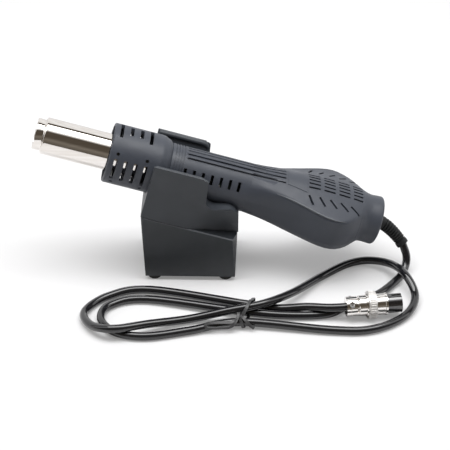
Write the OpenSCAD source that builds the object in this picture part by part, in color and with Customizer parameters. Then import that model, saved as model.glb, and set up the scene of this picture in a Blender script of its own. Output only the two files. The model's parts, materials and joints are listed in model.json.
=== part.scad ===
// Hot air handpiece resting in its free-standing cradle, with its bundled cord and round plug.
// Millimetres. Floor at z = 0, nozzle towards -X, tail towards +X.
// The handpiece is drawn along its own axis, s from the nozzle's tip, and tilted into the cradle.

/* [Pose] */
// Tilt of the handpiece in the cradle, in degrees
tilt = 16.3; // [14:0.1:18]
// Height of the handpiece's axis above the floor at the middle of the stand
axis_h = 75; // [74:0.5:82]
// Distance along the axis from the nozzle's tip to the middle of the stand
nose = 110.3; // [108:0.1:113]

/* [Nozzle] */
// Radius of the steel tube
tube_r = 13; // [12:0.1:14]
// Radius of the narrow neck that takes a nozzle
neck_r = 11; // [10:0.1:11.5]
// Length of the neck
neck_len = 6; // [4:0.5:9]
// Wall of the steel tube
tube_wall = 0.8; // [0.6:0.1:1.2]
// Length of tube that shows in front of the guard
tube_out = 52; // [45:0.5:60]

/* [Heat guard] */
// Outer radius of the slotted guard
guard_r = 21; // [20:0.1:22]
// Wall of the guard
guard_wall = 2; // [1.6:0.1:2.4]
// Length of the guard
guard_len = 42.5; // [41:0.5:45]
// Length of the rounded taper at its rear
guard_taper = 8; // [7:0.5:9]
// Width of a cooling slot
slot_w = 2.5; // [1.5:0.1:3.5]
// Distance from one cooling slot to the next
slot_pitch = 7; // [6:0.1:7.5]
// Arc of a long cooling slot, in degrees
slot_arc = 45.5; // [30:0.5:50]

/* [Grip and tail] */
// Radius of the round grip
grip_r = 17.4; // [17:0.1:18]
// Wall of the two shells
shell_wall = 2.2; // [1.8:0.1:2.6]
// Length of the round grip
grip_len = 76.5; // [72:0.5:81]
// Length of the broad tail
tail_len = 66; // [64:0.5:70]
// Half width of the tail at its broadest
tail_half = 32.4; // [31:0.1:36]
// Height of the tail's crown above the axis
crown_h = 19.4; // [18.5:0.1:21]
// Depth of the tail's belly below the axis
belly_h = 17.8; // [17.5:0.1:20]
// Radius of the neck behind the tail
rear_neck_r = 16.9; // [16.4:0.1:17.2]
// Radius of the rear collar
collar_r = 17.3; // [17.2:0.1:18.5]
// Length of the rear collar
collar_len = 12; // [10:0.5:14]

/* [Blower] */
// Radius of the blower's case
blower_r = 23.5; // [23:0.1:25]
// Height of the blower's case
blower_h = 18; // [16:0.5:19]
// Radius of the impeller
impeller_r = 20.5; // [18:0.1:21]
// Number of impeller blades
blade_count = 19; // [13:1:25]
// Radius of the motor's shaft
shaft_r = 1; // [0.8:0.1:1.4]

/* [Stand] */
// Width of the stand, front to back
stand_w = 50.8; // [50:0.1:56]
// Left end of the base at the seam
stand_left = 33.2; // [32:0.1:36]
// Right end of the base
stand_right = 34; // [33:0.1:36]
// Height of the seam between cradle and base at the middle of the stand
seam_h = 44.4; // [42:0.1:45.5]
// Height of the cradle's side walls above the handpiece's axis
wall_up = 13.5; // [10:0.5:16]
// Wall of the base box
box_wall = 2.5; // [2:0.1:3]
// Radius of a rubber foot
foot_r = 4.7; // [4:0.1:5]
// Height of a rubber foot below the base
foot_h = 3.5; // [3:0.1:5]

/* [Cord and plug] */
// Diameter of the cord
cord_d = 5.5; // [5:0.1:5.6]
// Radius of the plug's coupling ring
ring_r = 9.5; // [9:0.1:9.8]
// Radius of the plug's front sleeve
sleeve_r = 7.25; // [7:0.05:7.5]
// Radius of the plug's insert
insert_r = 6.6; // [6:0.05:6.7]
// Length of the coupling ring
ring_len = 5.5; // [5:0.1:6]

/* [Hidden] */
$fn = 48;

// clearances
seat_gap = 0.1;
rest_gap = 0.3;
run_gap = 0.05;
cut = 1;

// places along the handpiece, from the nozzle's tip
guard_s = tube_out;
grip_s = guard_s + guard_len;
tail_s = grip_s + grip_len;
neck_s = tail_s + tail_len;
collar_s = neck_s + 2 * seat_gap;
end_s = collar_s + collar_len;
web_s = grip_s - guard_taper;
web_t = 3;
flange_r = 15;
flange_t = 1;
spigot_s = web_s + web_t + 2 * flange_t + 0.5;
spigot_r = flange_r + 0.2;
bead_r = 2;
edge_r = 0.5;
rear_spigot_r = 15.4;
clamp_s = end_s - 8.9;

// where the handpiece lies
tip_x = -nose * cos(tilt);
tip_z = axis_h + nose * sin(tilt);
front_x = tip_x - neck_r * sin(tilt);
rear_x = tip_x + (end_s - bead_r) * cos(tilt) + (collar_r - bead_r) * sin(tilt) + bead_r;
mid_x = (front_x + rear_x) / 2;

// shell bosses and what they carry
boss_r = 2.9;
screw_r = 1.1;
pilot_r = 0.9;
head_r = 2.1;
low_boss_r = boss_r + 0.4;
front_boss_s = grip_s + 23.5;
front_boss_y = 10.2;
rear_boss_y = 13.5;
head_z = -8;
board_z = -7.5;
board_t = 1.6;
board_s0 = grip_s + 32.5;
board_w = 19;
board_hole_in = 5;
connector_s = board_s0 + 24;
connector = [8, 12, 6];

// blower, with room for the wires behind it and the rear shell bosses just in front
rear_room = 4.5;
boss_gap = 0.7;
blower_s = neck_s - rear_room - blower_r;
rear_boss_s = blower_s - sqrt(pow(blower_r + low_boss_r + boss_gap, 2) - pow(rear_boss_y, 2));
case_wall = 1.5;
case_z0 = -blower_h / 2;
case_z1 = blower_h / 2;
inlet_r = 13;
outlet_half = 9;
outlet_len = 34;
board_len = blower_s - outlet_len - 2 - board_s0;
post_ring = 16.5;
post_r = 2.6;
post_foot = belly_h - 0.6 * shell_wall;
bearing_r = 2.6;
bearing_len = 9;
hub_r = 11;
hub_wall = 0.9;
hub_top = 1.2;
magnet_t = 1.2;
magnet_len = 7;
stator_z0 = -3.6;
stator_h = 5;
stator_r = hub_r - hub_wall - magnet_t - 0.5;
blade_z0 = case_z0 + case_wall + 2.4;
blade_z1 = case_z1 - case_wall - 1.2;

// stand
wall_right = 11.7;
wall_rake = 2.9;
shelf_z = 60.6;
end_over = 0.6;
wall_lean = 11;
hollow_half = 16.5;
hollow_end_half = 10;
rim_t = 1.2;
seam_gap = 0.15;
roof_t = 3;
deck_t = roof_t * cos(tilt) + seat_gap;
base_z = foot_h;
plate_t = 2.5;
draft = 2.2;
end_draft = 1.3;
corner_cut = 3.2;
cavity_right = stand_right - box_wall - corner_cut;
trough_r = grip_r + rest_gap;
bay_r = guard_r + rest_gap;
channel_half = guard_r + 0.6;
foot_x = [draft - stand_left + foot_r + 1.6, stand_right - end_draft - foot_r - 2.2];
foot_y = stand_w / 2 - foot_r - 0.6;
post_x = [-25, 23.5];
post_y = 7;
post_out_r = 3.4;
deck_at = [[-20, 18], [19, 15.5]];
magnet_s = grip_s + 35.5;
magnet_r = 4;
magnet_h = 3;
ballast = [40.6, 34, 8];
ballast_x = -21.2;

// plug, its own axis from the cable end
plug_at = [94.7, -66];
plug_turn = 8.3;
clamp_len = 7.7;
saddle_s = 4;
body_s = 8.3;
body_r = 7;
ring_s = 15.4;
sleeve_end = 28.7;
insert_end = 38.9;
insert_s = 24;
pin_ring = 3.9;

// cord: route points after the strain relief, chosen by hand, in the finished part's frame
cord_points = [
    [140.6, -8.8, 11.5], [139.5, -14.6, 6], [134.6, -23.6, 3], [122, -39.8, 3], [108, -51, 3],
    [95, -58, 3], [81, -66.5, 3], [52, -68.2, 3.2], [23, -66, 4.5], [-42, -52, 3], [-68, -59.3, 3],
    [-73, -75, 3], [-62, -89, 3], [-41, -93, 3], [-11, -86, 3], [23, -78, 4.5], [85, -83.6, 3],
    [113, -82, 3], [135.2, -67.6, 3], [144.3, -48, 5], [138, -29, 10.8], [126.5, -10.6, 7], [106, -4.2, 3],
    [82, -21, 3], [59, -48, 7.5], [38, -65, 10.4], [14, -71, 8.5], [-12, -74, 3.5], [-41, -85, 7],
    [-63, -93, 9], [-79, -84, 5], [-85, -67, 3], [-70, -49, 3], [-41, -41, 3], [25, -57.5, 4.5],
    [49, -60.5, 3.2], [68, -64, 7.4]
];
// twist tie around the four strands
tie_points = [
    [3, -86.5, 1.2], [14, -86, 1.2], [20, -84.5, 3], [23, -80, 8.6], [26, -73, 12.2], [29, -65.5, 14.2],
    [31, -59, 10], [31.5, -53.4, 6], [31, -52.6, 1.8], [29, -57, 0.8], [27, -66, 0.8], [26, -76, 0.8],
    [25, -82.6, 2], [25.5, -82.6, 6], [28, -80.8, 8.8], [31, -83.2, 5.4], [34, -86, 1.6]
];
// strain relief: centre line in the handpiece's own axes, from inside the collar
boot_line = [
    [end_s - 6.6, 0, 0], [end_s, 0, 0], [end_s + 6.5, -0.3, -1.7], [end_s + 12.5, -0.9, -4.6],
    [end_s + 18.2, -2, -8.1], [end_s + 23, -4, -11.3]
];

function rotated(p) = [p[0] * cos(tilt) + p[2] * sin(tilt), p[1], p[2] * cos(tilt) - p[0] * sin(tilt)];
function placed(p) = rotated(p) + [tip_x - mid_x, 0, tip_z];
function on_axis(x) = axis_h - x * tan(tilt);
function on_seam_z(x) = seam_h - x * tan(tilt);
function plug_point(s) = [plug_at[0] + s * cos(plug_turn), plug_at[1] + s * sin(plug_turn), ring_r];

// smooth curve through a list of vectors, n steps from each point to the next
function between(a, b, c, d, t) =
    0.5 * (2 * b + (c - a) * t + (2 * a - 5 * b + 4 * c - d) * t * t + (3 * b - 3 * c + d - a) * t * t * t);
function smooth(p, n) = let (m = len(p) - 1) [
    for (i = [0 : m - 1], k = [0 : n - 1])
        between(i == 0 ? 2 * p[0] - p[1] : p[i - 1], p[i], p[i + 1],
                i == m - 1 ? 2 * p[m] - p[m - 1] : p[i + 2], k / n),
    p[m]
];
function unit(v) = v / norm(v);

// a tube of radius r[i] at each point, the same side always up
module sweep(line, radii, sides) {
    last = len(line) - 1;
    dirs = [for (i = [0 : last]) unit(line[min(i + 1, last)] - line[max(i - 1, 0)])];
    points = [for (i = [0 : last])
        let (side = unit(cross(dirs[i], [0, 0, 1])), up = cross(side, dirs[i]))
        for (k = [0 : sides - 1])
            let (a = 360 * (k + 0.5) / sides) line[i] + radii[i] * (cos(a) * side + sin(a) * up)];
    faces = concat(
        [[for (k = [0 : sides - 1]) k]],
        [for (i = [0 : last - 1], k = [0 : sides - 1])
            let (n = (k + 1) % sides)
            [i * sides + k, (i + 1) * sides + k, (i + 1) * sides + n, i * sides + n]],
        [[for (k = [sides - 1 : -1 : 0]) last * sides + k]]);
    polyhedron(points, faces, convexity = 10);
}

// a bent tube: outer radius r[i] at each point, bore of one radius
module pipe(line, radii, bore, sides) {
    last = len(line) - 1;
    dirs = [for (i = [0 : last]) unit(line[min(i + 1, last)] - line[max(i - 1, 0)])];
    rings = function (r) [for (i = [0 : last])
        let (side = unit(cross(dirs[i], [0, 0, 1])), up = cross(side, dirs[i]))
        for (k = [0 : sides - 1])
            let (a = 360 * (k + 0.5) / sides) line[i] + r[i] * (cos(a) * side + sin(a) * up)];
    m = (last + 1) * sides;
    polyhedron(concat(rings(radii), rings([for (r = radii) bore])), concat(
        [for (i = [0 : last - 1], k = [0 : sides - 1])
            let (n = (k + 1) % sides, a = i * sides, b = a + sides) [a + k, b + k, b + n, a + n]],
        [for (i = [0 : last - 1], k = [0 : sides - 1])
            let (n = (k + 1) % sides, a = m + i * sides, b = a + sides) [a + n, b + n, b + k, a + k]],
        [for (k = [0 : sides - 1]) let (n = (k + 1) % sides) [k, n, m + n, m + k]],
        [for (k = [0 : sides - 1])
            let (n = (k + 1) % sides, a = last * sides) [a + n, a + k, m + a + k, m + a + n]]), convexity = 10);
}

// the tail's stations: place, width, crown, belly and squareness, each as a share
tail_rows = [
    [-0.15, 0.04, 0.2, 0.1, 0.35], [0, 0.08, 0.5, 0.3, 0.7], [0.167, 0.25, 0.85, 0.75, 0.95],
    [0.333, 0.55, 1, 1, 1], [0.5, 0.865, 1, 1, 1], [0.636, 1, 0.85, 0.9, 1], [0.758, 0.935, 0.7, 0.9, 0.9],
    [0.864, 0.68, 0.6, 0.95, 0.6], [0.955, 0.27, 0.4, 0.7, 0.2], [1, 0, 0, 0, 0]
];
function share(top, k) = rear_neck_r + (top - rear_neck_r) * k;
join_s = tail_s - 19;
join_r = grip_r - 0.05;
shell_rows = concat(
    [[join_s, join_r, join_r, join_r, 0]],
    [for (r = tail_rows)
        [tail_s + tail_len * r[0], share(tail_half, r[1]), share(crown_h, r[2]), share(belly_h, r[3]), r[4]]]);
rim_z = 12.4;
rim_r = 2.6;
// points along half a cross-section: crown, rim, side down to the seam, belly
top_n = 5;
rim_n = 2;
side_n = 2;
low_n = 7;
seam_n = top_n + rim_n + side_n;
low_power = 0.45;

// point i of a half cross-section, 0 at the crown, seam_n at the seam, seam_n + low_n at the belly
function half_point(row, wall, i) =
    let (w = row[1] - wall, c = row[2] - wall, b = row[3] - wall, rim = rim_z - wall / 2, e = rim_r - wall / 2,
         j = i - top_n, m = j - rim_n, n = i - seam_n,
         a = j <= 0 ? 8 * i : m <= 0 ? 40 + 9 * j : n <= 0 ? 58 + 16 * m : 90 + 90 * n / low_n,
         round_p = [w * sin(a), (a < 90 ? c : b) * cos(a)],
         u = (w - e) / w * i / top_n,
         q = 90 * j / rim_n,
         h = 90 * n / low_n,
         square_p = j <= 0 ? [w * u, rim + (c - rim) * pow(1 - u * u, 2)]
            : m <= 0 ? [w - e + e * sin(q), rim - e + e * cos(q)]
            : n <= 0 ? [w, (rim - e) * (1 - m / side_n)]
            : [w * pow(max(cos(h), 0), low_power), -b * pow(sin(h), low_power)])
    round_p + (square_p - round_p) * row[4];
// the upper or lower half of a cross-section, from one side to the other
function half_section(row, wall, upper) =
    let (i0 = seam_n, i1 = upper ? 0 : seam_n + low_n, step = upper ? -1 : 1)
    concat([for (i = [i0 : step : i1]) let (p = half_point(row, wall, i)) [row[0], p[0], p[1]]],
           [for (i = [i1 - step : -step : i0]) let (p = half_point(row, wall, i)) [row[0], -p[0], p[1]]]);

// half of the tail's shell: outer and inner skins joined along the seam and at both ends
module half_tail(upper) {
    rows = smooth(shell_rows, 2);
    outer = [for (r = rows) half_section(r, 0, upper)];
    inner = [for (r = rows) half_section(r, shell_wall, upper)];
    n = len(outer[0]);
    m = len(rows);
    o = function (i, k) i * n + k;
    j = function (i, k) (m + i) * n + k;
    quads = concat(
        [for (i = [0 : m - 2], k = [0 : n - 2]) [o(i, k), o(i, k + 1), o(i + 1, k + 1), o(i + 1, k)]],
        [for (i = [0 : m - 2], k = [0 : n - 2]) [j(i, k), j(i + 1, k), j(i + 1, k + 1), j(i, k + 1)]],
        [for (i = [0 : m - 2]) [o(i, 0), o(i + 1, 0), j(i + 1, 0), j(i, 0)]],
        [for (i = [0 : m - 2]) [o(i, n - 1), j(i, n - 1), j(i + 1, n - 1), o(i + 1, n - 1)]],
        [for (k = [0 : n - 2]) [o(0, k), j(0, k), j(0, k + 1), o(0, k + 1)]],
        [for (k = [0 : n - 2]) [o(m - 1, k), o(m - 1, k + 1), j(m - 1, k + 1), j(m - 1, k)]]);
    points = concat([for (r = outer, p = r) p], [for (r = inner, p = r) p]);
    polyhedron(points, upper ? [for (q = quads) [q[3], q[2], q[1], q[0]]] : quads, convexity = 10);
}

// a turned piece along X from [radius, place] points
module turned(points) rotate([0, 90, 0]) rotate_extrude(convexity = 6) polygon(points);
module rod(r, s0, s1, y = 0, z = 0) translate([s0, y, z]) rotate([0, 90, 0]) cylinder(r = r, h = s1 - s0);
// a straight round wire from a to b
module wire(a, b, r) {
    d = b - a;
    translate(a) rotate([0, acos(d[2] / norm(d)), atan2(d[1], d[0])]) cylinder(r = r, h = norm(d), $fn = 24);
}
module on_stand() translate([-mid_x, 0, 0]) children();
module in_hand() translate([tip_x - mid_x, 0, tip_z]) rotate([0, tilt, 0]) children();
module on_blower() translate([blower_s, 0, 0]) children();
module on_plug() translate([plug_at[0], plug_at[1], ring_r]) rotate([0, 0, plug_turn]) children();
module screw(length, r = screw_r, head = head_r, head_h = 1.4) {
    cylinder(r = r, h = length, $fn = 24);
    difference() {
        translate([0, 0, -head_h]) cylinder(r = head, h = head_h, $fn = 32);
        for (a = [0, 90]) rotate(a)
            translate([-head * 0.6, -0.25, -head_h - cut]) cube([head * 1.2, 0.5, cut + 0.6]);
    }
}

// hot end
module nozzle_tube() color("silver") in_hand() {
    inner = tube_r - tube_wall;
    turned([[neck_r - tube_wall, 0], [neck_r, 0], [neck_r, neck_len - 0.6], [tube_r, neck_len + 0.6],
            [tube_r, web_s + web_t], [flange_r, web_s + web_t], [flange_r, web_s + web_t + flange_t],
            [inner, web_s + web_t + flange_t], [inner, neck_len + 1.2], [neck_r - tube_wall, neck_len]]);
}

mica_r = tube_r - tube_wall - seat_gap;
mica_t = 0.5;
core_s0 = 18;
core_s1 = web_s + web_t + flange_t;
fin_r = mica_r - mica_t - 1.9;
coil_wire = 0.5;
coil_steps = 14;
coil_r = (fin_r + coil_wire + 0.04) / cos(180 / coil_steps);

module mica_sleeve() color("tan") in_hand()
    turned([[mica_r - mica_t, core_s0 - 4], [mica_r, core_s0 - 4],
            [mica_r, core_s1], [mica_r - mica_t, core_s1]]);

module heater_core() color("ivory") in_hand() difference() {
    union() {
        rod(4, core_s0, core_s1);
        for (a = [0, 60, 120]) rotate([a, 0, 0])
            translate([core_s0 + 0.5, -0.7, -fin_r]) cube([core_s1 - core_s0 - 1, 1.4, 2 * fin_r]);
    }
    rod(1.5, core_s0 - cut, core_s1 + cut);
}

module heater_coil() color("dimgray") in_hand() {
    turns = 13;
    steps = coil_steps;
    s0 = core_s0 + 4;
    pitch = (core_s1 - core_s0 - 8) / turns;
    line = [for (i = [0 : turns * steps])
        let (a = 360 * i / steps) [s0 + pitch * i / steps, coil_r * cos(a), coil_r * sin(a)]];
    last = len(line) - 1;
    sides = 5;
    points = [for (i = [0 : last])
        let (out = unit([0, line[i][1], line[i][2]]))
        for (k = [0 : sides - 1])
            let (a = 360 * k / sides) line[i] + coil_wire * (cos(a) * out + sin(a) * [1, 0, 0])];
    polyhedron(points, concat(
        [[for (k = [0 : sides - 1]) k]],
        [for (i = [0 : last - 1], k = [0 : sides - 1])
            let (n = (k + 1) % sides)
            [i * sides + k, (i + 1) * sides + k, (i + 1) * sides + n, i * sides + n]],
        [[for (k = [sides - 1 : -1 : 0]) last * sides + k]]), convexity = 10);
}

module thermocouple() color("gainsboro") in_hand() rod(1.4, core_s0 - 5, core_s1 + 8);

flange_s = core_s1;
module heater_flange() color("lightgray") in_hand() difference() {
    rod(flange_r, flange_s, flange_s + flange_t);
    for (a = [0 : 60 : 300]) rotate([a, 0, 0]) rod(2.6, flange_s - cut, flange_s + flange_t + cut, 0, 8);
    rod(1.5, flange_s - cut, flange_s + flange_t + cut);
    for (y = [-3, 3]) rod(0.75, flange_s - cut, flange_s + flange_t + cut, y, 0);
}

lead_r = 0.7;
module heater_leads() color("ivory") in_hand()
    for (y = [-3, 3]) {
        line = smooth([[flange_s, y, 0], [flange_s + 12, y, -0.4],
                       [board_s0 - 4, y, board_z + board_t + lead_r + 0.7],
                       [board_s0 + 6, y, board_z + board_t + lead_r + 0.1]], 4);
        sweep(line, [for (p = line) lead_r], 8);
    }

// one cooling slot: an arc of the guard's wall, centred above the axis
module arc_slot(s, arc) translate([s + slot_w / 2, 0, 0]) rotate([0, -90, 0]) rotate([0, 0, -arc / 2])
    rotate_extrude(angle = arc) translate([tube_r + 2, 0]) square([guard_r - tube_r, slot_w]);

slot_s = guard_s + 5.3;
dot_r = 1.2;
dot_s = [guard_s + 5.7, guard_s + 26.2];
dot_turns = [-57, 57, 123, 237];
module heat_guard() color("darkslategray") in_hand() difference() {
    turned([[guard_r - guard_wall, guard_s], [guard_r - 0.8, guard_s], [guard_r, guard_s + 0.8],
            [guard_r, web_s], [guard_r - 0.35, web_s + 2], [guard_r - 1.4, web_s + guard_taper / 2],
            [(guard_r + grip_r) / 2 - 0.3, web_s + guard_taper * 0.75],
            [grip_r, grip_s - 0.6], [grip_r - 0.4, grip_s], [spigot_r + seat_gap, grip_s],
            [spigot_r + seat_gap, web_s + web_t], [tube_r + seat_gap, web_s + web_t],
            [tube_r + seat_gap, web_s], [guard_r - guard_wall, web_s]]);
    for (row = [0 : 3], k = [0 : 3]) rotate([90 * row, 0, 0])
        arc_slot(slot_s + slot_pitch * k, row % 2 == 0 && (k == 1 || k == 2) ? slot_arc * 0.6 : slot_arc);
    for (side = dot_turns, s = dot_s) rotate([side, 0, 0]) translate([s, 0, 0])
        cylinder(r = dot_r, h = guard_r + cut, $fn = 24);
}
module guard_screws() color("dimgray") in_hand()
    for (side = dot_turns, s = dot_s) rotate([side, 0, 0]) translate([s, 0, tube_r + seat_gap])
        difference() {
            cylinder(r = dot_r - run_gap, h = guard_r - tube_r - 1, $fn = 24);
            translate([0, 0, guard_r - tube_r - 2.4]) cylinder(r = 0.6, h = 3, $fn = 6);
        }

// the two shells of grip and tail
module half_grip(side) intersection() {
    difference() {
        union() {
            rod(grip_r, grip_s, join_s + 0.3);
            rod(spigot_r, spigot_s, grip_s + 1);
        }
        rod(grip_r - shell_wall, grip_s + 2, join_s + cut);
        rod(spigot_r - 2, spigot_s - cut, grip_s + 3);
        for (k = [0 : 3]) ring_groove(grip_s + 2 + 2 * k);
    }
    translate([spigot_s - cut, -40, side > 0 ? 0 : -40]) cube([join_s - spigot_s + 5, 80, 40]);
}
// half of the round spigot that the rear collar holds
module half_neck(side) intersection() {
    difference() {
        rod(rear_spigot_r, neck_s - 3, end_s - 4.2);
        rod(rear_spigot_r - shell_wall, neck_s - 3 - cut, end_s);
    }
    translate([neck_s - 4, -40, side > 0 ? 0 : -40]) cube([collar_len + 10, 80, 40]);
}
module ring_groove(s) difference() {
    rod(grip_r + cut, s, s + 0.8);
    rod(grip_r - 0.5, s - cut, s + 0.8 + cut);
}
// the four screw bosses, the front pair in the grip and the rear pair in the tail
module at_bosses() for (side = [-1, 1]) {
    translate([front_boss_s, side * front_boss_y, 0]) children(0);
    translate([rear_boss_s, side * rear_boss_y, 0]) children($children - 1);
}

crown_pitch = 3.9;
crown_slot = [8.3, 1.5];
crown_s = tail_s + 21.4;
bone_len = 8.2;
bone_y = 18;
module crown_slots() {
    for (g = [0 : 3], k = [-2 : 2])
        translate([crown_s + 11 * g, k * crown_pitch - crown_slot[1] / 2, 8])
            cube([crown_slot[0], crown_slot[1], 20]);
    for (g = [0 : 4], side = [-1, 1])
        translate([crown_s + 2.4 + 8 * g, side * bone_y, 6]) rotate([0, 0, side * (64 - 7 * g)])
            translate([-bone_len / 2, -crown_slot[1] / 2, 0]) cube([bone_len, crown_slot[1], 20]);
}
module side_slots() for (side = [-62, 62], k = [0 : 6]) rotate([side, 0, 0])
    translate([grip_s + 9.8 + 6.5 * k, -3.5, grip_r - 5]) cube([2.1, 7, 10]);
// the grooves run level along the grip, then rise with the tail's crown
groove_s = grip_s + 11.5;
groove_w = 1.6;
groove_rise = 1;
module long_grooves() for (k = [-2 : 2]) rotate([13 * k, 0, 0]) translate([groove_s, 0, grip_r - 1]) {
    level = join_s - groove_s;
    end = tail_s + 4.5 - groove_s;
    translate([0, groove_w / 2, 0]) rotate([90, 0, 0]) linear_extrude(groove_w)
        polygon([[0, 0], [level, 0], [end, groove_rise], [end, 5], [0, 5]]);
    cylinder(r = groove_w / 2, h = 5, $fn = 24);
    translate([end, 0, groove_rise]) cylinder(r = groove_w / 2, h = 5 - groove_rise, $fn = 24);
}

module upper_shell() color("darkslategray") in_hand() difference() {
    union() {
        half_grip(1);
        half_tail(true);
        half_neck(1);
        at_bosses() {
            cylinder(r = boss_r, h = 9.5);
            cylinder(r = boss_r, h = 12.6);
        }
    }
    at_bosses() translate([0, 0, -cut]) cylinder(r = pilot_r, h = 7 + cut, $fn = 24);
    crown_slots();
    side_slots();
    long_grooves();
}

board_holes = [board_s0 + board_hole_in, board_s0 + board_len - board_hole_in];
module lower_shell() color("darkslategray") in_hand() difference() {
    union() {
        half_grip(-1);
        half_tail(false);
        half_neck(-1);
        at_bosses() {
            translate([0, 0, -10]) cylinder(r = low_boss_r, h = 10);
            translate([0, 0, -13.8]) cylinder(r = low_boss_r, h = 13.8);
        }
        for (s = board_holes) translate([s, 0, 0.7 - grip_r]) cylinder(r = post_r, h = grip_r - 0.7 + board_z);
        on_blower() for (a = [0 : 120 : 240]) rotate(a)
            translate([post_ring, 0, -post_foot]) cylinder(r = post_r, h = post_foot + case_z0);
    }
    at_bosses() translate([0, 0, -30]) cylinder(r = head_r + 0.3, h = 30 + head_z);
    at_bosses() translate([0, 0, -30]) cylinder(r = screw_r + 0.1, h = 31, $fn = 24);
    for (s = board_holes) translate([s, 0, board_z - 5]) cylinder(r = pilot_r, h = 6, $fn = 24);
    on_blower() for (a = [0 : 120 : 240]) rotate(a)
        translate([post_ring, 0, case_z0 - 3.5]) cylinder(r = pilot_r, h = 4, $fn = 24);
}

module shell_screws() color("dimgray") in_hand() at_bosses() translate([0, 0, head_z])
    screw(12, pilot_r - 0.02, head_r);

// electronics in the grip
module terminal_board() color("darkgreen") in_hand() difference() {
    translate([board_s0, -board_w / 2, board_z]) cube([board_len, board_w, board_t]);
    for (s = board_holes) translate([s, 0, board_z - cut])
        cylinder(r = screw_r + 0.1, h = board_t + 2 * cut, $fn = 24);
}
module board_screws() color("silver") in_hand()
    for (s = board_holes) translate([s, 0, board_z + board_t]) mirror([0, 0, 1])
        screw(board_t + 3.5, pilot_r - 0.02, 1.9, 1.2);
module board_connector() color("white") in_hand()
    translate([connector_s, -connector[1] / 2, board_z + board_t]) difference() {
        cube(connector);
        for (k = [0 : 4]) translate([2, 1.2 + 2 * k, 1.5]) cube([8, 1.6, 3]);
    }
module reed_switch() color("mediumseagreen") in_hand() {
    rod(1.1, board_s0 + 10, board_s0 + 21, 5, board_z - 1.2);
    rod(0.3, board_s0 + 7, board_s0 + 24, 5, board_z - 1.2);
}
board_top = board_z + board_t;
module fan_leads() color("firebrick") in_hand() for (y = [-4, 4]) {
    line = smooth([[connector_s + connector[0] + seat_gap, y, board_top + connector[2] / 2],
                   [board_s0 + board_len, y, board_top + 1.2],
                   [blower_s - outlet_len + 4, y, case_z0 + case_wall + 0.75]], 3);
    sweep(line, [for (p = line) 0.6], 8);
}
wire_r = 1.2;
wires_path = [
    [clamp_s - 5, 0, -0.4], [clamp_s - 5.4, 2, -4.2], [clamp_s - 5.8, 4, -8.6],
    [clamp_s - 8, 5.8, case_z0 - 2.9],
    [clamp_s - 13, 7.2, case_z0 - 2.9], [blower_s - 20, 7.5, case_z0 - 2.9],
    [blower_s - outlet_len + 2, 6, case_z0 - 2.6], [board_s0 + board_len - 6, 5.5, board_z - wire_r - seat_gap]
];
module inner_wires() color("black") in_hand() {
    line = smooth(wires_path, 4);
    sweep(line, [for (p = line) wire_r], 10);
}

// blower in the tail
module blower_case() color("black") in_hand() on_blower() difference() {
    union() {
        translate([0, 0, case_z0]) cylinder(r = blower_r, h = blower_h - case_wall);
        translate([-outlet_len, -outlet_half, case_z0])
            cube([outlet_len, 2 * outlet_half, blower_h - case_wall]);
    }
    difference() {
        union() {
            translate([0, 0, case_z0 + case_wall]) cylinder(r = blower_r - case_wall, h = blower_h);
            translate([-outlet_len - cut, case_wall - outlet_half, case_z0 + case_wall])
                cube([outlet_len + cut, 2 * (outlet_half - case_wall), blower_h]);
        }
        translate([0, 0, case_z0]) cylinder(r = bearing_r + 1.2, h = 11);
    }
    translate([0, 0, case_z0 + case_wall]) cylinder(r = bearing_r + seat_gap, h = 12);
    for (a = [0 : 120 : 240]) rotate(a) translate([post_ring, 0, case_z0 - cut])
        cylinder(r = screw_r + 0.1, h = case_wall + 2 * cut, $fn = 24);
}
module blower_cover() color("dimgray") in_hand() on_blower() difference() {
    union() {
        translate([0, 0, case_z1 - case_wall]) cylinder(r = blower_r, h = case_wall);
        translate([-outlet_len, -outlet_half, case_z1 - case_wall])
            cube([outlet_len, 2 * outlet_half, case_wall]);
    }
    translate([0, 0, case_z1 - case_wall - cut]) cylinder(r = inlet_r, h = case_wall + 2 * cut);
}
module blower_screws() color("silver") in_hand() on_blower() for (a = [0 : 120 : 240]) rotate(a)
    translate([post_ring, 0, case_z0 + case_wall]) mirror([0, 0, 1])
        screw(case_wall + 3, pilot_r - 0.02, 1.9, 1.2);
module motor_bearing() color("goldenrod") in_hand() on_blower()
    translate([0, 0, case_z0 + case_wall]) difference() {
        cylinder(r = bearing_r, h = bearing_len);
        translate([0, 0, 0.6]) cylinder(r = shaft_r + run_gap, h = bearing_len);
    }
module motor_shaft() color("silver") in_hand() on_blower()
    translate([0, 0, case_z0 + case_wall + 0.65])
        cylinder(r = shaft_r, h = blade_z1 - case_z0 - case_wall - 1.2);
module motor_stator() color("chocolate") in_hand() on_blower() difference() {
    union() {
        translate([0, 0, stator_z0]) cylinder(r = bearing_r + 3, h = stator_h);
        for (a = [0 : 90 : 270]) rotate(a) translate([0, 0, -1.1]) {
            translate([0, -1, -2]) cube([stator_r - 0.6, 2, 4]);
            intersection() {
                translate([0, 0, -2]) cylinder(r = stator_r, h = 4);
                translate([stator_r - 1.6, -3.6, -2]) cube([3, 7.2, 4]);
            }
        }
    }
    translate([0, 0, stator_z0 - cut]) cylinder(r = bearing_r + 1.2 + seat_gap, h = stator_h + 2 * cut);
}
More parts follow.
